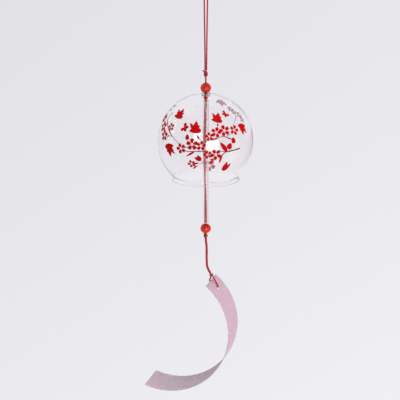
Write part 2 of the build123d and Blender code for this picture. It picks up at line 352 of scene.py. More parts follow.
def paper_finish(name, colour):
    """Smooth thin card: short fibres laid mostly one way, a faint mottle and a satin face."""
    made = finish(name)
    place = made.place()
    fibres = made.noise(made.stretched(place, (900.0, 900.0, 2600.0)), 1.0, 3.0)
    mottle = made.noise(place, 90.0, 4.0)
    return made.done(made.principled({
        "Base Color": made.varied(mottle * 0.5 + fibres * 0.5, colour, 0.94, 1.06),
        "Roughness": 0.42 + fibres * 0.2,
        "Specular IOR Level": 0.5,
        "Normal": made.bump(fibres, 0.02 * MM, 0.35),
    }))


# Surfaces


def unit(vectors):
    """The vectors, each divided by its length."""
    return vectors / np.linalg.norm(vectors, axis=-1, keepdims=True)


def turned(x, y, turn):
    """Flat places x, y turned about the origin."""
    return np.stack([x * math.cos(turn) - y * math.sin(turn), x * math.sin(turn) + y * math.cos(turn)], -1)


def places_of(mesh):
    """The places of a mesh's vertices."""
    places = np.zeros(len(mesh.vertices) * 3)
    mesh.vertices.foreach_get("co", places)
    return places.reshape(-1, 3)


def mend(mesh, weld=0.0):
    """Turns a mesh's normals outwards. Where weld is set, it first joins the vertices that lie that
    close and drops the faces and vertices that are left with no size."""
    work = bmesh.new()
    work.from_mesh(mesh)
    if weld:
        bmesh.ops.remove_doubles(work, verts=work.verts, dist=weld)
        bmesh.ops.dissolve_degenerate(work, edges=work.edges, dist=weld)
        loose = [vertex for vertex in work.verts if not vertex.link_faces]
        bmesh.ops.delete(work, geom=loose, context="VERTS")
    bmesh.ops.recalc_face_normals(work, faces=work.faces)
    work.to_mesh(mesh)
    work.free()


def linked(name, data):
    """A new object in the scene, which holds the data."""
    made = bpy.data.objects.new(name, data)
    bpy.context.scene.collection.objects.link(made)
    return made


def piece(name, places, faces, materials, picks=None, uvs=None, weld=0.0):
    """A smooth mesh object from arrays of places and faces, mended with the weld. picks are the
    faces' materials by number, and uvs a flat place for each vertex."""
    mesh = bpy.data.meshes.new(name)
    mesh.from_pydata(places.reshape(-1, 3).tolist(), [], [list(face) for face in faces])
    for material in materials:
        mesh.materials.append(material)
    if picks is not None:
        mesh.polygons.foreach_set("material_index", np.asarray(picks, np.int32))
    if uvs is not None:
        corners = np.zeros(len(mesh.loops), np.int32)
        mesh.loops.foreach_get("vertex_index", corners)
        layer = mesh.uv_layers.new(name="UVMap")
        layer.data.foreach_set("uv", uvs.reshape(-1, 2)[corners].astype(np.float32).ravel())
    mend(mesh, weld)
    mesh.shade_smooth()
    return linked(name, mesh)


def grid_faces(rows, columns, close_rows=False, close_columns=False, first=0):
    """Quads between neighbours of a grid of rows and columns, joined round where it closes."""
    i, j = np.meshgrid(np.arange(rows if close_rows else rows - 1),
                       np.arange(columns if close_columns else columns - 1), indexing="ij")
    k, m = (i + 1) % rows, (j + 1) % columns
    quads = np.stack([i * columns + j, i * columns + m, k * columns + m, k * columns + j], -1)
    return (quads.reshape(-1, 4) + first).tolist()


def run_along(line):
    """How far along a line each of its points lies."""
    return np.r_[0, np.cumsum(np.linalg.norm(np.diff(line, axis=0), axis=1))]


def read_route(points, spacing):
    """Even points along the NURBS spline of order 3 that has the given control points."""
    curve = bpy.data.curves.new("route", "CURVE")
    curve.dimensions = "3D"
    spline = curve.splines.new("NURBS")
    spline.points.add(len(points) - 1)
    spline.points.foreach_set("co", np.hstack([points, np.ones((len(points), 1))]).ravel())
    spline.order_u = 3
    spline.use_endpoint_u = True
    spline.resolution_u = 32
    holder = linked("route", curve)
    bpy.context.view_layer.update()
    mesh = bpy.data.meshes.new_from_object(holder)
    line = places_of(mesh)
    bpy.data.objects.remove(holder)
    bpy.data.curves.remove(curve)
    bpy.data.meshes.remove(mesh)
    line = line[np.r_[True, np.diff(run_along(line)) > 1e-9]]
    run = run_along(line)
    even = np.linspace(0, run[-1], max(8, int(run[-1] / spacing)))
    return np.stack([np.interp(even, run, line[:, axis]) for axis in range(3)], 1)


def yarn(line, diameter, lay, beside, plies=3, around=30, start=0.0, depth=0.5):
    """Grid of a laid cord along a line. Its section is round plies side by side: at each angle the
    edge lies at a*cos(t) + sqrt(b*b - a*a*sin(t)^2), with b a ply's radius, a its middle's distance
    from the axis and t the angle from the nearest ply. A depth below 1 fills the grooves by that
    share. The section turns once in each lay, and both ends close in a quarter round. beside is a
    direction that the line never points in."""
    ply = diameter / 2 / (1 + 1 / math.sin(math.pi / plies))
    middle = diameter / 2 - ply
    run = run_along(line)
    ways = unit(np.gradient(line, run, axis=0))
    across = unit(np.cross(beside, ways))
    out = np.cross(ways, across)
    angle = np.linspace(0, 2 * math.pi, around, endpoint=False)
    phase = angle[None, :] - 2 * math.pi * run[:, None] / lay - start
    nearest = (phase + math.pi / plies) % (2 * math.pi / plies) - math.pi / plies
    reach = middle * np.cos(nearest) + np.sqrt(ply**2 - (middle * np.sin(nearest)) ** 2)
    reach = depth * reach + (1 - depth) * diameter / 2
    from_end = np.minimum(run, run[-1] - run)
    closing = np.sqrt(1 - (1 - np.clip(from_end / (diameter / 2), 0.02, 1)) ** 2)
    reach = reach * closing[:, None]
    grid = (line[:, None] + reach[..., None] * (
        np.cos(angle)[None, :, None] * across[:, None] + np.sin(angle)[None, :, None] * out[:, None]))
    return grid, np.stack(np.broadcast_arrays(phase / (2 * math.pi), run[:, None]), -1)


# Loose fibres make the yarn look this much thicker than its nominal size
YARN_FULLNESS = 1.12
# How much further on in its lay each strand of a piece starts, in radians
STRAND_OFFSET = 1.1


def strands(name, lines, diameter, lay, beside, material, around=30):
    """One piece of laid cords, each a closed tube with a pole at each end."""
    places, faces, uvs, first = [], [], [], 0
    for number, line in enumerate(lines):
        grid, flat = yarn(line, diameter * YARN_FULLNESS, lay, beside, around=around,
                          start=number * STRAND_OFFSET)
        rows, columns = grid.shape[:2]
        places += [grid.reshape(-1, 3), line[:1], line[-1:]]
        uvs += [flat.reshape(-1, 2), flat[0, :1], flat[-1, :1]]
        faces += grid_faces(rows, columns, close_columns=True, first=first)
        poles = first + rows * columns
        ring = np.arange(columns)
        last = first + (rows - 1) * columns
        faces += np.stack([ring * 0 + poles, first + (ring + 1) % columns, first + ring], 1).tolist()
        faces += np.stack([ring * 0 + poles + 1, last + ring, last + (ring + 1) % columns], 1).tolist()
        first = poles + 2
    return piece(name, np.vstack(places), faces, [material], uvs=np.vstack(uvs))


def lathe(name, profile, segments, material, unevenness=0.0):
    """A closed profile of radius and height carried round the Z axis. Where unevenness is set, the
    radius also swells and shrinks by that length in slow waves round and up the piece."""
    angle = np.linspace(0, 2 * math.pi, segments, endpoint=False)
    radius, height = profile[:, :1], profile[:, 1:2]
    weight = profile[:, 2:3] if profile.shape[1] > 2 else np.zeros_like(radius)
    waves = (np.sin(2 * angle + 40 * height) + 0.6 * np.sin(3 * angle - 90 * height + 1.0)
             + 0.4 * np.sin(7 * angle + 160 * height + 2.0))
    radius = radius + unevenness * weight * waves
    places = np.stack([radius * np.cos(angle), radius * np.sin(angle),
                       np.broadcast_to(height, radius.shape)], -1)
    faces = grid_faces(len(profile), segments, close_rows=True, close_columns=True)
    return piece(name, places, faces, [material])


def arc(middle, radius, start, end, count):
    """Points of an arc in the plane of radius and height, between two angles in radians."""
    angle = np.linspace(start, end, count)
    return np.stack([middle[0] + radius * np.cos(angle), middle[1] + radius * np.sin(angle)], 1)


def corner(before, at, after, size, count=7):
    """A rounded corner: the parabola that leaves one side and joins the other, size from the corner."""
    before, at, after = (np.array(point, float) for point in (before, at, after))
    start, end = at + unit(before - at) * size, at + unit(after - at) * size
    share = np.linspace(0, 1, count)[:, None]
    return (1 - share) ** 2 * start + 2 * share * (1 - share) * at + share**2 * end


# Cords and knots


# Distance between the sections of a cord
YARN_STEP = 0.28 * MM
# How far a cord runs on into the knot above it and into the knot below it
KNOT_COVER = 1.5 * MM
KNOT_FOOT = 0.4 * MM
# The tail and the loop hang slack, so that their yarn swells by this, and the tail's own lay
SLACK_FULLNESS = 1.1
TAIL_LAY = 5.2 * MM
# The cut end that stands out of the upper knot to the left: its rise over the level and its length
CUT_END_RISE = math.radians(38)
CUT_END_LENGTH = 2.6 * MM
# A knot's turns: how far they slant for their reach, and how many times faster than the turns their
# ends tuck in
KNOT_SLANT = 0.34
KNOT_TUCK = 3.2
# The pass that crosses a knot's turns: where it starts round the axis, how far it goes, and how far
# it bulges between its ends, in strands
PASS_START = math.radians(-152)
PASS_SWEEP = math.radians(124)
PASS_RISE = 0.62


def plane_points(route, origin, heading=0.0):
    """Points of a route in an upright plane through an origin, turned by a heading from +X."""
    across = np.array([math.cos(heading), math.sin(heading), 0.0])
    return origin + route[:, :1] * across + route[:, 1:] * UP


def curl_frame(sizes):
    """Middle of the curl in its plane, and the angle of the strip's top edge, as the source works
    them out from the knot above the edge."""
    lead_way = unit(LEAD_ROUTE[-1] - LEAD_ROUTE[-2])
    knot_middle = LEAD_ROUTE[-1] + lead_way * STRIP_KNOT_TURNS * sizes.strand / 2
    along = np.array([math.cos(TOP_SLOPE), -math.sin(TOP_SLOPE)])
    off = np.array([math.sin(TOP_SLOPE), math.cos(TOP_SLOPE)])
    top_edge = knot_middle + along * KNOT_PAST_EDGE - off * KNOT_OFF_FACE
    return top_edge - off * sizes.curl_radius, math.pi / 2 - TOP_SLOPE


def on_strip(sizes, along, off, width=0.0):
    """Places on the strip: along its length from the top edge, off its middle surface and across."""
    middle, start = curl_frame(sizes)
    angle = start - np.asarray(along) / sizes.curl_radius
    reach = sizes.curl_radius + np.asarray(off)
    flat = np.stack([middle[0] + reach * np.cos(angle), middle[1] + reach * np.sin(angle)], -1)
    return (STRIP_BEND + flat[..., :1] * CURL_LEVEL + flat[..., 1:] * UP
            + np.asarray(width)[..., None] * CURL_SIDE)


def twin_lines(top, bottom, pitch, start, rise, quickening, bow=0.0):
    """Two strands side by side down the Z axis. They wind round each other by start + rise *
    share^quickening, with share going from 0 at the top to 1 at the bottom, and lie off the axis to
    the left by bow * sin(pi * share) * (1 - share), which is most near the top."""
    height = np.linspace(top, bottom, int((top - bottom) / YARN_STEP))
    share = (height - top) / (bottom - top)
    turn = start + rise * share**quickening
    offset = pitch / 2 * np.stack([np.cos(turn), np.sin(turn), 0 * turn], 1)
    left = -bow * np.sin(math.pi * share) * (1 - share)
    middle = np.stack([left, 0 * height, height], 1)
    return [middle + offset, middle - offset]


def knot_lines(top, direction, turns, strand):
    """A wound knot round an axis: turns of the strand down a helix whose ends tuck in to the axis.
    The turns slant one way at the top and the other way at the bottom, by cos(pi * share) times the
    slant, as in an overhand knot. One more pass crosses them from the upper left to the lower
    right. A strand lies a quarter of its thickness from the axis where it is tucked in, and a whole
    one elsewhere."""
    axis = unit(direction)
    side = unit(np.cross(AWAY, axis))
    behind = np.cross(axis, side)

    def round_axis(reach, angle, depth):
        return (top - depth[:, None] * axis + (reach * np.cos(angle))[:, None] * side
                + (reach * np.sin(angle))[:, None] * behind)

    share = np.linspace(0, 1, 40 * turns + 20)
    angle = 2 * math.pi * (turns - 0.3) * share
    tuck = np.clip(np.minimum(share, 1 - share) * turns * KNOT_TUCK, 0, 1)
    reach = strand * (0.25 + 0.75 * tuck * tuck * (3 - 2 * tuck))
    slant = KNOT_SLANT * np.cos(math.pi * share) * reach * np.cos(angle) * tuck
    coil = round_axis(reach, angle, strand * (0.5 + (turns - 1) * share) + slant)
    share = np.linspace(0, 1, 30)
    reach = strand * (0.75 + PASS_RISE * np.sin(math.pi * share))
    over = round_axis(reach, PASS_START + PASS_SWEEP * share, strand * (0.1 + (turns - 0.2) * share))
    return [coil, over]


def carry(made, body, *nodes, slot=None):
    """Puts a piece on its body and hides the CAD nodes that it stands for. Its slot is not used."""
    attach(made, body)
    if nodes:
        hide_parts(*nodes)
    return made


def hanging_cord(sizes, material):
    """The cord that is folded over the hook."""
    line = read_route(plane_points(HANGING_ROUTE, np.zeros(3)), YARN_STEP)
    hanging = strands("hanging_strands", [line], sizes.strand, sizes.ply_lay, AWAY, material)
    carry(hanging, "hanging_loop", "hanging_cord", slot="red_cord")


def doubled_cord(sizes, body, top, bottom, material, *course):
    """The two strands that hang on a body, from the bend under one knot to the top of the next. The
    course is what twin_lines takes after the strand."""
    lines = twin_lines(top + KNOT_COVER, bottom - KNOT_FOOT, sizes.strand, *course)
    made = strands(body + "_strands", lines, sizes.strand, sizes.ply_lay, AWAY, material)
    carry(made, body, body + "_cord", slot="red_cord")


def tail_cord(sizes, material):
    """The tail with its lead to the strip, a single piece that runs between their bodies."""
    tail_points = plane_points(TAIL_ROUTE, UP * TAIL_BEND)
    lead_points = plane_points(LEAD_ROUTE, STRIP_BEND, CURL_HEADING)
    in_knot = tail_points[:1] + UP * KNOT_COVER
    line = read_route(np.vstack([in_knot, tail_points, lead_points]), YARN_STEP)
    tail = strands("tail_strands", [line], sizes.tail * SLACK_FULLNESS, TAIL_LAY, AWAY, material)
    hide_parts("tail_cord", "strip_lead")
    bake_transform(tail)
    return tail, line


def strip_loop(sizes, material):
    """The strand from the strip's knot through the punched hole and back behind the paper."""
    line = read_route(on_strip(sizes, LOOP_ROUTE[:, 0], LOOP_ROUTE[:, 1]), YARN_STEP)
    loop = strands("loop_strand", [line], sizes.strand * SLACK_FULLNESS, sizes.ply_lay, CURL_SIDE,
                   material)
    return carry(loop, "strip", "strip_loop", slot="red_cord")


def cut_end(strand):
    """The short end that stands out of the upper knot."""
    way = np.array([-math.cos(CUT_END_RISE), 0, math.sin(CUT_END_RISE)])
    root = np.array([-strand / 2, 0, UPPER_KNOT_TOP - strand])
    return root + way * np.linspace(0, CUT_END_LENGTH, 12)[:, None]


def knot(sizes, name, body, top, direction, turns, material, *ends):
    """A knot as one piece, with the cord ends that stand out of it."""
    lines = [*knot_lines(top, direction, turns, sizes.strand), *ends]
    never_along = np.array([0.3, 0.2, 1.0])
    made = strands(name + "_turns", lines, sizes.strand, sizes.ply_lay, never_along, material, around=24)
    return carry(made, body, name, slot="red_cord")


class WINDBELL_OT_cords(bpy.types.Operator):
    """Make the hanging cord, the doubled cord inside the bell, the tail with its loop, and the
    knots."""

    bl_idname = "windbell.cords"
    bl_label = "Cords"

    def execute(self, context):
        sizes, colours = context.scene.windbell_sizes, context.scene.windbell_colours
        red = cord_finish("cord_yarn", colours.cord)
        # The cord inside the bell takes a paler, pinker copy of the red yarn: a painted reflection of the
        # tube's glass over it
        inside = cord_finish("cord_yarn_painted_reflection", colours.cord_with_painted_reflection)
        hanging_cord(sizes, red)
        doubled_cord(sizes, "neck", HANG_BEND, STOPPER_KNOT_TOP, red,
                     math.radians(90), math.radians(30), 1.0)
        doubled_cord(sizes, "clapper", CLAPPER_BEND, LOWER_KNOT_TOP, inside,
                     math.radians(-10), math.radians(226), 1.6, 1.17 * MM)
        tail, tail_line = tail_cord(sizes, red)
        loop = strip_loop(sizes, red)
        knot(sizes, "upper_knot", "upper_knot", UP * UPPER_KNOT_TOP, UP, 4, red, cut_end(sizes.strand))
        knot(sizes, "stopper_knot", "stopper_knot", UP * STOPPER_KNOT_TOP, UP, 2, red)
        knot(sizes, "lower_knot", "lower_knot", UP * LOWER_KNOT_TOP, UP, 3, red)
        before, end = plane_points(LEAD_ROUTE, STRIP_BEND, CURL_HEADING)[-2:]
        strip_knot = knot(sizes, "strip_knot", "strip", end, before - end, STRIP_KNOT_TURNS, red)
        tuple(tail_line[0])
        return {"FINISHED"}


# Glass, beads and washers


# The edges of the waist and lip are eased over this length, and the inside of the globe is uneven
# by this much
GLASS_EASE = 0.6 * MM
GLASS_UNEVENNESS = 0.05 * MM
# The arc of the lip's foot: its angle over the level where it leaves the outside of the collar, whose
# slope it follows, and, half a turn on, where it joins the inside
FOOT_OUTSIDE = 0.42
FOOT_INSIDE = 0.31
# Points in each long arc of the globe, in each rim, and up and round the tube
GLOBE_ROWS = 90
RIM_ROWS = 14
TUBE_ROWS = 40
TUBE_SEGMENTS = 64
# How fine the ripples and how dense the tinge are in blown glass, in drawn glass and in plastic
BLOWN = {"ripple": 46.0, "density": 22.0}
DRAWN = {"ripple": 120.0, "density": 12.0}
PLASTIC = {"ripple": 300.0, "density": 10.0, "index": 1.49, "tint": (1.0, 0.84, 0.82)}


def globe_shape():
    """Radius of the glass globe and the height of its middle, read from the CAD node."""
    places = places_of(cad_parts["glass_bell"].data)
    reach = np.hypot(places[:, 0], places[:, 1])
    widest = reach > reach.max() - 1e-7
    return float(reach.max()), float(places[widest, 2].mean())


def blown_globe(sizes):
    """The globe, whose profile goes down the outside of the sphere to the waist, out along the
    straight collar, round the lip's foot, back up inside and round the rim of the crown's hole. A
    circle of radius r has the reach x at the angle acos(x / r)."""
    radius, middle = globe_shape()
    wall, inner, half = sizes.wall, radius - sizes.wall, sizes.wall / 2
    waist, lip = sizes.waist / 2, sizes.lip / 2
    lip_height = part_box("glass_bell")[0].z
    rim = sizes.crown_hole / 2 + half

    def waist_point(reach, size):
        return reach, middle - math.sqrt(size**2 - reach**2)

    def waist_angle(reach, size):
        return GLASS_EASE / size - math.acos(reach / size)

    waist_out, waist_in = waist_point(waist, radius), waist_point(waist - wall, inner)
    lip_out, lip_in = (lip, lip_height), (lip - wall, lip_height)
    outside = arc((0, middle), radius, math.acos(rim / radius), waist_angle(waist, radius), GLOBE_ROWS)
    inside = arc((0, middle), inner, waist_angle(waist - wall, inner), math.acos(rim / inner), GLOBE_ROWS)
    crown_height = (outside[0, 1] + inside[-1, 1]) / 2
    crown = arc((rim, crown_height), half, -math.pi / 2, -3 * math.pi / 2, RIM_ROWS)
    profile = np.vstack([
        outside[:-1],
        corner(outside[-2], waist_out, lip_out, GLASS_EASE),
        arc((lip - half, lip_height + half), half, FOOT_OUTSIDE, FOOT_INSIDE - math.pi, RIM_ROWS),
        corner(lip_in, waist_in, inside[1], GLASS_EASE),
        inside[1:],
        crown[1:-1],
    ])
    reach = np.hypot(profile[:, 0], profile[:, 1] - middle)
    inwards = (reach < inner + 1e-6) & (profile[:, 1] > waist_in[1]) & (profile[:, 0] > 2 * rim)
    profile = np.column_stack([profile, inwards])
    globe = lathe("blown_globe", profile, sizes.globe_segments, glass_finish("blown_glass", **BLOWN),
                  unevenness=GLASS_UNEVENNESS)
    carry(globe, "glass_bell", "glass_bell", slot="bell_glass")


def clear_tube(sizes):
    """The clapper's tube, a straight wall with both of its ends melted round."""
    low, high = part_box("clapper_tube")
    outer, polish = (high.x - low.x) / 2, sizes.tube_wall / 2
    heights = np.linspace(high.z - polish, low.z + polish, TUBE_ROWS)
    profile = np.vstack([
        np.column_stack([np.full(TUBE_ROWS, outer), heights]),
        arc((outer - polish, low.z + polish), polish, 0, -math.pi, 12)[1:-1],
        np.column_stack([np.full(TUBE_ROWS, outer - sizes.tube_wall), heights[::-1]]),
        arc((outer - polish, high.z - polish), polish, math.pi, 0, 12)[1:-1],
    ])
    tube = lathe("clear_tube", profile, TUBE_SEGMENTS, glass_finish("drawn_glass", **DRAWN))
    carry(tube, "clapper_tube", "clapper_tube", slot="tube_glass")


class WINDBELL_OT_glass(bpy.types.Operator):
    """Make the blown globe and the clapper tube of clear glass."""

    bl_idname = "windbell.glass"
    bl_label = "Glass"

    def execute(self, context):
        blown_globe(context.scene.windbell_sizes)
        clear_tube(context.scene.windbell_sizes)
        return {"FINISHED"}


class WINDBELL_OT_beads(bpy.types.Operator):
    """Give the beads and the clear washers their finishes."""

    bl_idname = "windbell.beads"
    bl_label = "Beads and washers"

    def execute(self, context):
        colour = context.scene.windbell_colours.bead
        clear = glass_finish("clear_plastic", **PLASTIC)
        materials = {"upper_washer": clear, "lower_washer": clear}
        for name in ("upper_bead", "lower_bead"):
            low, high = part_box(name)
            middle, half_height = (low.z + high.z) / 2, (high.z - low.z) / 2
            materials[name] = bead_finish(name + "_resin", colour, middle, half_height)
        for name, material in materials.items():
            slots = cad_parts[name].data.materials
            slots.clear()
            slots.append(material)
        return {"FINISHED"}


# Shapes of the print


def disc_patch(shape, rings, count):
    """Grid of a flat patch from its middle out to its edge. shape(ring, angle) gives the places."""
    ring = np.linspace(0, 1, rings)[:, None]
    angle = np.linspace(0, 2 * math.pi, count, endpoint=False)[None, :]
    return shape(ring, angle)


# Corners of a maple leaf as shares of its size, from its right lobe round to the left
LEAF_CORNERS = (
    (0.82, -0.28), (0.50, 0.02), (0.64, 0.30), (0.36, 0.36), (0.34, 0.56), (0.06, 1.00), (-0.14, 0.62),
    (-0.30, 0.34), (-0.46, 0.56), (-0.84, 0.72), (-0.66, 0.34), (-0.70, 0.16), (-0.52, -0.06),
    (-0.84, -0.40), (-0.50, -0.60), (0.02, -0.72), (0.34, -0.68), (0.66, -0.60),
)


def leaf_patch(size):
    """Maple leaf: the straight sides between its corners, each corner softened by drawing every edge
    point a quarter of the way to its neighbours, and all of it shrunk ring by ring to the middle."""
    corners = np.array(LEAF_CORNERS + LEAF_CORNERS[:1]) * size
    at = np.linspace(0, len(LEAF_CORNERS), 12 * len(LEAF_CORNERS), endpoint=False)
    edge = np.stack([np.interp(at, np.arange(len(corners)), column) for column in corners.T], 1)
    edge = (np.roll(edge, 1, axis=0) + 2 * edge + np.roll(edge, -1, axis=0)) / 4
    return np.linspace(0, 1, 9)[:, None, None] * edge


def petal_patch(size, turn):
    """Petal of a flower with a radius of size: an oval of 0.40 by 0.36 of it, with its middle at
    0.60, a little wider towards the tip and with a shallow notch in the tip."""
    def shape(ring, angle):
        from_tip = (angle + math.pi) % (2 * math.pi) - math.pi
        notch = 1 - 0.14 * np.exp(-((from_tip / 0.28) ** 2))
        x = size * (0.60 + 0.40 * ring * np.cos(angle) * notch)
        y = size * 0.36 * ring * np.sin(angle) * (0.86 + 0.22 * np.cos(angle))
        return turned(x, y, turn)

    return disc_patch(shape, 5, 40)


def flower(size, turn):
    """The five petals of a flower, the first one turned by degrees."""
    return [petal_patch(size, math.radians(72 * petal + turn)) for petal in range(5)]


# Wings and body of a butterfly, as shares of its size: length, width, turn in degrees, and how far
# the blunt end lies from the butterfly's middle along the turn
BUTTERFLY = (
    (0.60, 0.34, 325, -0.60), (0.60, 0.34, 215, -0.60), (0.42, 0.32, 398, -0.42),
    (0.42, 0.32, 142, -0.42), (0.50, 0.09, 90, -0.22),
)


def butterfly(size):
    """The four wings and the body of a butterfly, each a drop."""
    return [drop_patch(length * size, width * size, math.radians(turn), start * size)
            for length, width, turn, start in BUTTERFLY]


def drop_patch(length, width, turn=0.0, start=0.0):
    """Drop with its blunt end at the start and its point at the end of its length: an oval whose
    half width is 0.62 of the width times sin(angle) * sin(angle / 2)^0.6."""
    def shape(ring, angle):
        x = start + length / 2 * (1 + ring * np.cos(angle))
        y = 0.62 * width * ring * np.sin(angle) * np.abs(np.sin(angle / 2)) ** 0.6
        return turned(x, y, turn)

    return disc_patch(shape, 6, 44)


def eased(points, count, rounds=4):
    """Points of a smooth line through a few places: even shares of the straight runs between them,
    then each point drawn to its neighbours a few times."""
    points = np.array(points, float)
    share, knots = np.linspace(0, 1, count), np.linspace(0, 1, len(points))
    line = np.stack([np.interp(share, knots, column) for column in points.T], 1)
    for _ in range(rounds):
        line[1:-1] = (line[:-2] + 2 * line[1:-1] + line[2:]) / 4
    return line


# Points along a twig
RIBBON_POINTS = 30


class Globe:
    """The glass globe: where the front view's pixels fall on it, and how flat motifs lie on it."""

    def __init__(self):
        self.radius, middle = globe_shape()
        self.middle = np.array([0.0, 0.0, middle])

    def at(self, x, y, far=False):
        """Unit directions from the middle to where the camera sees pixels on the near or far side:
        the line of sight d from the camera c meets the globe at c + t*d, with t = -b -+ sqrt(b*b -
        |c - m|^2 + r^2) and b = (c - m).d, m being the middle and r the radius."""
        scale = CAMERA_LENS / SENSOR_WIDTH * FRAME_PIXELS
        right = (np.asarray(x, float) - FRAME_PIXELS / 2) / scale
        up = (FRAME_PIXELS / 2 - np.asarray(y, float)) / scale
        level, lift = math.cos(VIEW_TILT), math.sin(VIEW_TILT)
        sight = unit(np.stack([right, level + up * lift, up * level - lift], -1))
        away = CAMERA_PLACE - self.middle
        b = sight @ away
        root = np.sqrt(b * b - away @ away + self.radius**2)
        meet = away + (root - b if far else -b - root)[..., None] * sight
        return unit(meet)

    def lay(self, flat, outward, way):
        """Unit directions of a flat motif: its plane touches the globe at outward with its x axis
        along way, and each place in it is drawn in to the middle of the globe."""
        first = unit(way - (way @ outward) * outward)
        second = np.cross(outward, first)
        return unit(outward * self.radius + flat[..., :1] * first + flat[..., 1:] * second)

    def motif(self, flat, x, y, turn, far=False):
        """A flat motif with its middle at a pixel, turned in the view."""
        step = math.radians(turn)
        outward, beside = self.at(np.array([x, x + math.cos(step)]), np.array([y, y - math.sin(step)]), far)
        return self.lay(flat, outward, beside - outward)

    def drop(self, ends, width, far=False):
        """A drop from a blunt end to a pointed end, both given as pixels."""
        base, tip = self.at(*np.array(ends, float).reshape(2, 2).T, far)
        length = float(np.linalg.norm(tip - base)) * self.radius
        return self.lay(drop_patch(length, width, start=-length / 2), unit(base + tip), tip - base)

    def ribbon(self, points, widths, far=False):
        """A ribbon through pixels on the globe: half a width to each side of its line."""
        line = unit(eased(self.at(*np.array(points, float).T, far), RIBBON_POINTS))
        share = np.linspace(0, 1, RIBBON_POINTS)
        width = np.interp(share, np.linspace(0, 1, len(widths)), widths)
        side = unit(np.cross(line, np.gradient(line, axis=0))) * width[:, None] / 2 / self.radius
        return unit(np.stack([line + side, line, line - side]))

    def lift(self, directions, off):
        """Places over the glass at a height."""
        return self.middle + directions * (self.radius + off)


def print_piece(name, patches, laid_on, height, thickness, materials):
    """Thin printed shapes: each patch is laid on a surface at its height, closed by a second face a
    thickness above and a wall round its edge. The lower face takes the second material. A patch of
    three rows is a ribbon, and any other is a disc whose rows are rings."""
    places, faces, picks, first = [], [], [], 0
    for patch in patches:
        rows, columns = patch.shape[:2]
        ribbon, second = rows == 3, first + rows * columns
        top, low = laid_on(patch, height + thickness), laid_on(patch, height)
        places += [top.reshape(-1, 3), low.reshape(-1, 3)]
        upper = grid_faces(rows, columns, close_columns=not ribbon, first=first)
        lower = grid_faces(rows, columns, close_columns=not ribbon, first=second)
        number = np.arange(rows * columns).reshape(rows, columns)
        edge = number[-1]
        if ribbon:
            edge = np.r_[number[0], number[1, -1], number[2, ::-1], number[1, 0]]
        after = np.roll(edge, -1)
        wall = np.stack([edge, after, after + rows * columns, edge + rows * columns], 1) + first
        faces += upper + lower + wall.tolist()
        picks += [0] * len(upper) + [1] * len(lower) + [0] * len(wall)
        first = second + rows * columns
    return piece(name, np.vstack(places), faces, materials, picks, weld=1e-8)


# Where the motifs lie on the globe, by the pixels at which the front view shows them. Leaves,
# flowers and butterflies: x, y, size in millimetres and turn in degrees
LEAVES = {
    "upper left": (179.8, 114.2, 6.0, -17), "by the tube": (195.3, 128.0, 6.2, 0),
    "upper right": (217.2, 118.2, 5.8, -12), "lower left": (169.5, 149.0, 6.6, -172),
    "right edge": (242.3, 128.2, 5.8, -178),
}
BACK_LEAVES = {"behind the crown": (222.0, 100.8, 6.2, 25)}
BLOSSOMS = {
    "large": (192.0, 144.4, 5.0, 0), "left of the large one": (181.0, 148.4, 4.4, 20),
    "behind the tube": (201.2, 145.8, 4.0, -10), "left edge, top": (164.8, 118.0, 4.2, -20),
    "left edge, middle": (163.8, 126.3, 4.6, 10), "inside the left branch": (171.2, 126.9, 3.6, 15),
    "left edge, low": (164.5, 135.3, 4.6, 0), "right row, first": (209.3, 136.6, 3.6, 10),
    "right row, second": (216.2, 132.4, 4.4, -15), "right row, third": (224.4, 130.6, 4.8, 20),
    "right row, fourth": (234.2, 130.0, 4.3, -20), "low, by the tube": (207.6, 154.7, 3.6, 18),
    "low, right": (215.8, 154.6, 4.6, 30), "low, left": (191.6, 163.8, 3.4, 20),
}
BACK_BLOSSOMS = {
    "back row, first": (231.2, 108.0, 3.4, 10), "back row, second": (234.6, 110.8, 3.2, 40),
    "back row, third": (240.2, 113.8, 3.6, 0), "back row, fourth": (243.2, 118.6, 3.2, 25),
    "back, low": (209.6, 166.4, 5.4, 0),
}
BUTTERFLIES = {"left": (185.2, 127.9, 7.2, 57), "right": (225.0, 114.4, 6.4, -39)}
# Buds and narrow leaves: x and y of the blunt end and of the point, and width in millimetres
DROPS = {
    "bud over the large flower": (187.2, 140.0, 187.4, 134.2, 3.2),
    "small bud": (199.0, 138.9, 197.0, 135.0, 1.5),
    "leaf on the low branch": (227.0, 151.2, 220.0, 142.3, 3.4),
    "round bud": (228.4, 149.2, 230.9, 142.9, 4.5),
    "bud at the branch end": (233.9, 143.4, 232.8, 137.2, 3.8),
    "split bud, left": (200.8, 160.6, 194.2, 157.3, 2.8),
    "split bud, right": (201.0, 160.4, 197.2, 155.2, 2.8),
    "leaf of the low flower": (193.4, 163.7, 198.8, 163.0, 1.5),
    "sliver": (193.2, 168.5, 197.8, 165.2, 1.3),
    "paired leaf, left": (222.2, 170.6, 227.4, 161.5, 3.4),
    "paired leaf, right": (222.8, 170.6, 230.6, 163.3, 3.2),
    "sprout": (209.4, 163.9, 213.6, 158.8, 1.8),
    "sprout tip": (213.4, 159.0, 209.4, 159.5, 1.1),
    "bud under the leaf": (217.8, 126.6, 217.6, 123.2, 1.3),
    "dash, top": (173.0, 107.0, 176.7, 105.1, 1.3),
    "dash, left": (170.0, 110.9, 172.3, 108.5, 1.5),
    "leaf under the branch": (194.4, 151.7, 185.9, 156.4, 1.6),
    "fork end": (221.6, 155.0, 219.2, 163.2, 1.9),
    "bud on the right branch": (211.4, 140.0, 213.8, 138.6, 1.6),
    "second bud on it": (214.4, 139.1, 217.6, 138.0, 1.4),
    "side bud": (168.9, 135.4, 167.0, 137.0, 1.4),
}
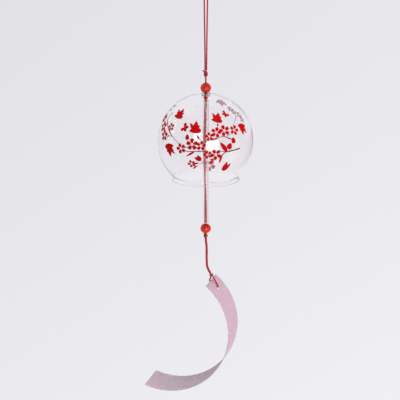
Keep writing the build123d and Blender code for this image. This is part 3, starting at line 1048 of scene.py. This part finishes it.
# Twigs: widths along them in millimetres, then the pixels that they pass
TWIGS = {
    "left": ((0.9, 0.7, 0.5, 1.0, 0.6, 1.0, 0.5, 0.4, 0.4), (173.0, 112.2), (170.2, 115.4),
             (167.5, 119.0), (167.6, 124.5), (168.8, 130.0), (171.8, 135.8), (175.6, 140.2),
             (179.8, 144.4)),
    "left side": ((0.4, 0.6), (171.8, 136.2), (169.2, 135.7), (167.2, 137.0)),
    "middle": ((0.3, 0.6, 0.7, 0.7), (180.5, 150.3), (187.0, 151.4), (195.0, 151.5), (205.0, 151.5)),
    "middle dash": ((0.5, 0.5), (183.8, 147.6), (188.2, 147.3)),
    "middle link": ((0.6, 0.4), (195.8, 146.8), (198.2, 149.6), (199.0, 151.2)),
    "sprig": ((0.4, 0.3), (199.2, 138.9), (200.2, 139.6), (201.4, 141.0)),
    "right": ((1.0, 0.5, 0.6, 0.8, 0.4, 0.5, 0.7, 1.0, 0.6), (204.6, 143.0), (206.2, 141.0),
              (209.5, 140.3), (214.0, 139.4), (218.5, 137.6), (222.0, 136.4), (226.0, 136.8),
              (229.5, 138.6), (232.6, 139.4)),
    "right side": ((0.4, 0.3), (226.8, 136.2), (229.8, 134.6), (231.5, 132.6)),
    "low right": ((0.3, 0.5, 1.0, 0.9, 1.2), (218.0, 150.4), (222.6, 151.6), (228.0, 151.5),
                  (233.5, 150.2), (239.8, 148.3)),
    "fork": ((0.8, 0.7, 1.3), (226.6, 151.7), (223.4, 153.6), (221.0, 156.8)),
    "low": ((0.4, 0.4, 0.3), (217.6, 158.2), (213.5, 160.6), (207.0, 162.2), (201.5, 163.4),
            (198.5, 163.6)),
    "low link": ((0.4, 0.3), (203.5, 162.0), (202.2, 161.4), (200.8, 160.5)),
    "stem": ((0.3, 0.3), (217.6, 126.2), (217.4, 127.6), (217.2, 129.0)),
}
BACK_TWIGS = {
    "back": ((0.4, 0.6, 0.5, 0.4), (229.5, 106.0), (233.8, 109.5), (236.5, 113.5), (237.0, 117.0),
             (235.4, 121.5), (234.2, 126.0)),
    "back side": ((0.4, 0.3), (237.0, 117.0), (238.8, 115.4), (240.5, 114.6)),
}


# How far the enamel's underside lies off the glass, and the twigs' share of its thickness
ENAMEL_GAP = 0.03 * MM
TWIG_THICKNESS = 0.6


def both_sides(near, beyond):
    """The entries of a table of the near side and of one of the far side, each with its side."""
    return [(*entry, far) for far, table in ((False, near), (True, beyond)) for entry in table.values()]


class WINDBELL_OT_print(bpy.types.Operator):
    """Print the globe with leaves, blossoms, butterflies and twigs."""

    bl_idname = "windbell.print"
    bl_label = "Print on the glass"

    def execute(self, context):
        sizes, colours = context.scene.windbell_sizes, context.scene.windbell_colours
        globe = Globe()
        red = enamel_finish("red_enamel", colours.enamel, 0.35)
        # The prints' undersides, seen through the glass on the far side, take a paler copy of the enamel:
        # painted light and reflection
        under = enamel_finish("enamel_underside_painted_light", colours.enamel_back_with_painted_light, 0.5)
        line = enamel_finish("twig_enamel", colours.twig, 0.4)
        motifs = {
            "leaves": [globe.motif(leaf_patch(size * MM), x, y, turn, far)
                       for x, y, size, turn, far in both_sides(LEAVES, BACK_LEAVES)],
            "blossoms": [globe.motif(petal, x, y, turn, far)
                         for x, y, size, turn, far in both_sides(BLOSSOMS, BACK_BLOSSOMS)
                         for petal in flower(size * MM, 90)],
            "butterflies": [globe.motif(drop, x, y, turn)
                            for x, y, size, turn in BUTTERFLIES.values()
                            for drop in butterfly(size * MM)],
            "buds": [globe.drop(ends, width * MM) for *ends, width in DROPS.values()],
            "twigs": [globe.ribbon(points, np.array(widths) * MM, far)
                      for widths, *points, far in both_sides(TWIGS, BACK_TWIGS)],
        }
        for name, patches in motifs.items():
            face, share = (line, TWIG_THICKNESS) if name == "twigs" else (red, 1.0)
            made = print_piece("printed_" + name, patches, globe.lift, ENAMEL_GAP, share * sizes.enamel,
                               [face, under])
            carry(made, "glass_bell")
        return {"FINISHED"}


# Paper strip


# Cells of the strip's grid, and half the side of the square round the hole that has its own quads
STRIP_CELL = 1.0 * MM
HOLE_PATCH = 5.0 * MM
# The quads round the hole crowd towards it by this power
HOLE_CROWDING = 1.4
WAVE_HEIGHT = 0.1 * MM
# The cut edge is this much paler than the outer face
EDGE_PALER = 1.08
# How far the strip's print lies off the paper, and its thickness
PAPER_PRINT_GAP = 0.02 * MM
PAPER_PRINT = 0.04 * MM
# Flowers on the strip's inner face, in millimetres: along from the top edge, across, radius and turn
PAPER_BLOSSOMS = (
    (128.5, -7.5, 6.4, 10), (137.0, -3.5, 4.6, 40), (120.5, -9.5, 4.2, 0), (121.0, 12.0, 5.2, 60),
    (112.5, 14.0, 3.4, 20), (131.0, 13.0, 3.2, 35),
)
# Loose petals: along, across, length, width and turn
PAPER_PETALS = (
    (146.5, -3.0, 4.2, 2.2, 30), (138.5, 8.0, 3.2, 1.8, 80), (147.0, -14.0, 3.2, 1.8, 120),
    (110.5, -12.0, 3.6, 1.8, 200), (114.0, -6.0, 3.0, 1.6, 20), (127.0, 4.5, 3.2, 1.6, 330),
    (103.0, 9.0, 3.0, 1.6, 60), (143.0, 12.5, 3.0, 1.6, 10),
)


def strip_wave(flat):
    """How far the paper lies off its true curl: sin(62 * along + 0.6) * cos(85 * across) of its wave
    height, fading to nothing from 48 mm to 18 mm from the top edge."""
    fade = np.clip(flat[..., 0] / (30 * MM) - 0.6, 0, 1)
    return WAVE_HEIGHT * fade * np.sin(flat[..., 0] * 62 + 0.6) * np.cos(flat[..., 1] * 85)


def spaced(*stops):
    """Steps of about one cell from stop to stop, with each stop among them."""
    steps = [np.linspace(start, end, max(1, round((end - start) / STRIP_CELL)) + 1)
             for start, end in zip(stops, stops[1:])]
    return np.unique(np.round(np.concatenate(steps), 9))


def strip_grid(sizes):
    """The flat strip, along and across, and its faces: a grid of cells, with the square round the
    hole left out and filled by rings of quads between the hole's circle and the square."""
    half = sizes.strip_width / 2
    along = spaced(0, HOLE_FROM_TOP - HOLE_PATCH, HOLE_FROM_TOP + HOLE_PATCH, sizes.strip_length)
    across = spaced(-half, -HOLE_PATCH, HOLE_PATCH, half)
    grid = np.stack(np.meshgrid(along, across, indexing="ij"), -1)
    quads = np.array(grid_faces(*grid.shape[:2]))
    centres = np.abs(grid.reshape(-1, 2)[quads].mean(1) - (HOLE_FROM_TOP, 0))
    side = spaced(-HOLE_PATCH, HOLE_PATCH)[:-1]
    square = np.vstack([turned(HOLE_PATCH, side[:, None], math.radians(90 * number))[:, 0]
                        for number in range(4)])
    hole = HOLE_DIAMETER / 2 * unit(square)
    share = np.linspace(0, 1, 7)[:, None, None] ** HOLE_CROWDING
    rings = hole + share * (square - hole) + (HOLE_FROM_TOP, 0)
    flat = np.vstack([grid.reshape(-1, 2), rings.reshape(-1, 2)])
    kept = quads[(centres > HOLE_PATCH).any(1)].tolist()
    return flat, kept + grid_faces(*rings.shape[:2], close_columns=True, first=len(along) * len(across))


def curled_strip(sizes, materials):
    """The strip's middle surface on its curl, with its outer face turned away from the curl's axis,
    thickened by half of the paper to both sides."""
    flat, faces = strip_grid(sizes)
    places = on_strip(sizes, flat[:, 0], strip_wave(flat), flat[:, 1])
    strip = piece("curled_strip", places, faces, materials, uvs=flat / sizes.strip_length, weld=1e-7)
    middle, _ = curl_frame(sizes)
    face = strip.data.polygons[len(strip.data.polygons) // 2]
    outward = np.array(face.center) - (STRIP_BEND + middle[0] * CURL_LEVEL + middle[1] * UP)
    if outward @ np.array(face.normal) < 0:
        strip.data.flip_normals()
    solid = strip.modifiers.new("thickness", "SOLIDIFY")
    solid.thickness = sizes.paper
    solid.offset = 0.0
    solid.material_offset = 1
    solid.material_offset_rim = 2
    carry(strip, "strip", "paper_strip", slot="printed_paper")


def strip_print(sizes, material):
    """The pale flowers and petals on the strip's inner face."""
    patches = []
    for along, across, size, turn in PAPER_BLOSSOMS:
        patches += [np.array([along, across]) * MM + flat for flat in flower(size * MM, turn)]
    for along, across, length, width, turn in PAPER_PETALS:
        flat = drop_patch(length * MM, width * MM, math.radians(turn))
        patches.append(np.array([along, across]) * MM + flat)

    def laid_on(flat, off):
        return on_strip(sizes, flat[..., 0], strip_wave(flat) - sizes.paper / 2 - off, flat[..., 1])

    made = print_piece("strip_blossoms", patches, laid_on, PAPER_PRINT_GAP, PAPER_PRINT,
                       [material, material])
    carry(made, "strip")


class WINDBELL_OT_strip(bpy.types.Operator):
    """Make the curled paper strip, with its punched hole, and its pale print."""

    bl_idname = "windbell.strip"
    bl_label = "Paper strip"

    def execute(self, context):
        sizes, colours = context.scene.windbell_sizes, context.scene.windbell_colours
        curled_strip(sizes, [
            paper_finish("paper_plain_face", colours.paper_out),
            paper_finish("paper_printed_face", colours.paper_in),
            paper_finish("paper_cut_edge", [part * EDGE_PALER for part in colours.paper_out]),
        ])
        strip_print(sizes, enamel_finish("pale_print", colours.paper_print, 0.5))
        return {"FINISHED"}


# Stage


FLOOR_HEIGHT = -0.62
FLOOR_REACH = 9.0
FLOOR_ROWS = 19
# The studio is pale on the side that this direction points to, and a dim room on the other: how far
# along that direction the surround and the floor turn from one to the other
PALE_SIDE = (-0.35, 0.94, 0.0)
DARK_ROOM = (0.26, 0.22, 0.24)
ROOM_TURNS = (-0.45, 0.6)
FLOOR_TURNS = (-0.6, 0.3)
# Beside the pale backdrop: what the rim of the glass shows
BESIDE = (0.50, 0.37, 0.42)
# The fill that lights every surface evenly: colour and strength
FILL = (0.97, 0.98, 1.0)
FILL_STRENGTH = 0.35
# The front view's distance from the bell, and the least distance that the floor's tone reckons with
VIEW_DISTANCE = 1.14
NEAREST = 0.8
# The floor's tone, which paints light on it brighter to the right and nearer the view: its base, its rise
# to the right, its rise with nearness, and its bounds
TONE = 0.95
TONE_ACROSS = 0.18
TONE_NEAR = 0.145
TONE_BOUNDS = (0.93, 1.07)
# The tangents to the right between which the floor turns to what lies beside the backdrop
BESIDE_EDGE = (0.24, 0.42)
# How much of the floor's look is its own even glow, the rest being lamplight
FLOOR_GLOW = 0.93
# The point that the lamps turn to. For each lamp: degrees to the right of the front and up,
# distance, width and height in metres, radiance, and whether glass and gloss show it
BELL_MIDDLE = UP * -0.135
LAMPS = {
    "front_softbox": (14, 0.5, 1.3, (0.8, 0.53), 3.4, True),
    "left_softbox": (-30, 28, 1.5, (1.0, 1.0), 0.6, False),
    "top_softbox": (25, 75, 1.5, (1.0, 1.0), 3.8, False),
    "right_softbox": (70, -10, 1.3, (1.0, 1.0), 3.4, False),
}
# A lamp's screen is this much brighter than the lamp
SCREEN_GAIN = 1.8


def front_camera(scene):
    """The camera of the front view."""
    camera = linked("camera", bpy.data.cameras.new("camera"))
    camera.location = CAMERA_PLACE
    camera.rotation_euler = (math.pi / 2 - VIEW_TILT, 0.0, 0.0)
    camera.data.lens = CAMERA_LENS
    camera.data.sensor_width = SENSOR_WIDTH
    camera.data.clip_end = 100.0
    scene.camera = camera


def softbox(name, azimuth, elevation, distance, size, radiance, mirrored):
    """A rectangular lamp turned to the bell, whose power is radiance * pi * area. Only a mirrored one
    shows in glass and gloss, by a screen in its place that no other ray meets."""
    turn, lift = math.radians(azimuth), math.radians(elevation)
    back = np.array([math.sin(turn) * math.cos(lift), -math.cos(turn) * math.cos(lift), math.sin(lift)])
    side = unit(np.cross(UP, back))
    rise = np.cross(back, side)
    place = BELL_MIDDLE + back * distance
    lamp = bpy.data.lights.new(name, "AREA")
    lamp.shape = "RECTANGLE"
    lamp.size, lamp.size_y = size
    lamp.energy = radiance * math.pi * size[0] * size[1]
    holder = linked(name, lamp)
    holder.location = place
    holder.rotation_mode = "QUATERNION"
    holder.rotation_quaternion = Matrix(np.stack([side, rise, back], 1).tolist()).to_quaternion()
    holder.visible_glossy = holder.visible_transmission = False
    if mirrored:
        made = finish(name + "_screen")
        white = opaque((1.0, 1.0, 1.0))
        lit = made.node("ShaderNodeEmission", {"Color": white, "Strength": radiance * SCREEN_GAIN})
        hidden = made.node("ShaderNodeBsdfTransparent", {"Color": white})
        made.done(made.mix_shader(made.reflected(), hidden, lit))
        across, up = side * size[0] / 2, rise * size[1] / 2
        corners = place + np.array([-across - up, across - up, across + up, up - across])
        piece(name + "_screen", corners, [(0, 1, 2, 3)], [made.owner])


def studio_world(backdrop):
    """What lies round the bell: the backdrop's colour for the camera and through glass, a dim room on
    one side in reflections, and an even fill for all other light."""
    made = Finish(bpy.data.worlds.new("studio"))
    share = made.smooth(made.towards(made.place("Generated"), PALE_SIDE), *ROOM_TURNS)
    room = made.mixed(made.ray("Is Glossy Ray") * (1.0 - share), opaque(backdrop), opaque(DARK_ROOM))
    shown = made.node("ShaderNodeBackground", {"Color": room, "Strength": 1.0})
    fill = made.node("ShaderNodeBackground", {"Color": opaque(FILL), "Strength": FILL_STRENGTH})
    return made.done(made.mix_shader(made.viewed(1.0), fill, shown), kind="ShaderNodeOutputWorld")


def floor_finish(backdrop):
    """Pale paper. Its look is mostly its own glow, whose tone is the base + (x * rise across + rise near) /
    distance from the front view, kept within bounds: painted light, brighter to the right and nearer the
    view. In reflections it turns to what lies beside the backdrop where x / distance passes the edge, and
    its glow fades on the dim side."""
    made = finish("floor_paper")
    grain = made.noise(made.place(), 40.0)
    lit = made.node("ShaderNodeBsdfDiffuse", {"Color": made.varied(grain, backdrop, 0.98, 1.02)})
    across = made.axis("X")
    distance = made.maths("MAXIMUM", made.axis("Y") + VIEW_DISTANCE, NEAREST)
    tone = TONE + (across * TONE_ACROSS + TONE_NEAR) / distance
    tone = made.maths("MAXIMUM", made.maths("MINIMUM", tone, TONE_BOUNDS[1]), TONE_BOUNDS[0])
    edge = made.smooth(across / distance, *BESIDE_EDGE) * made.reflected()
    sheet = made.node("ShaderNodeVectorMath", {0: tuple(backdrop), "Scale": tone}, operation="SCALE")
    colour = made.mixed(edge, sheet, opaque(BESIDE))
    glow = made.node("ShaderNodeEmission", {"Color": colour, "Strength": 1.0})
    share = made.smooth(made.towards(made.place(), PALE_SIDE), *FLOOR_TURNS)
    return made.done(made.mix_shader(made.viewed(share) * FLOOR_GLOW, lit, glow))


class WINDBELL_OT_stage(bpy.types.Operator):
    """Set up the camera, the lamps, the world and the pale floor."""

    bl_idname = "windbell.stage"
    bl_label = "Stage"

    def execute(self, context):
        scene, backdrop = context.scene, context.scene.windbell_colours.backdrop
        scene.view_settings.view_transform = "Standard"
        front_camera(scene)
        for name, lamp in LAMPS.items():
            softbox(name, *lamp)
        scene.world = studio_world(backdrop)
        steps = np.linspace(-FLOOR_REACH, FLOOR_REACH, FLOOR_ROWS)
        places = np.stack(np.meshgrid(steps, steps, FLOOR_HEIGHT, indexing="ij"), -1)
        floor = piece("floor", places, grid_faces(FLOOR_ROWS, FLOOR_ROWS), [floor_finish(backdrop)])
        return {"FINISHED"}


class WINDBELL_PT_panel(bpy.types.Panel):
    """Wind bell pieces and settings."""

    bl_idname = "WINDBELL_PT_panel"
    bl_label = "Wind Bell"
    bl_space_type = "VIEW_3D"
    bl_region_type = "UI"
    bl_category = "Wind Bell"

    def draw(self, context):
        layout = self.layout
        for operator in OPERATORS:
            layout.operator(operator.bl_idname)
        for group in (context.scene.windbell_sizes, context.scene.windbell_colours):
            box = layout.box()
            for name in group.bl_rna.properties.keys():
                if name not in {"rna_type", "name"}:
                    box.prop(group, name)


OPERATORS = (WINDBELL_OT_stage, WINDBELL_OT_cords, WINDBELL_OT_glass, WINDBELL_OT_beads,
             WINDBELL_OT_print, WINDBELL_OT_strip)
CLASSES = (WindBellSizes, WindBellColours, *OPERATORS, WINDBELL_PT_panel)


def register():
    for cls in CLASSES:
        bpy.utils.register_class(cls)
    bpy.types.Scene.windbell_sizes = PointerProperty(type=WindBellSizes)
    bpy.types.Scene.windbell_colours = PointerProperty(type=WindBellColours)


def unregister():
    del bpy.types.Scene.windbell_colours
    del bpy.types.Scene.windbell_sizes
    for cls in reversed(CLASSES):
        bpy.utils.unregister_class(cls)


def main():
    """Builds every piece in order."""
    register()
    bpy.ops.windbell.stage()
    bpy.ops.windbell.cords()
    bpy.ops.windbell.glass()
    bpy.ops.windbell.beads()
    bpy.ops.windbell.print()
    bpy.ops.windbell.strip()


if __name__ == "__main__":
    main()
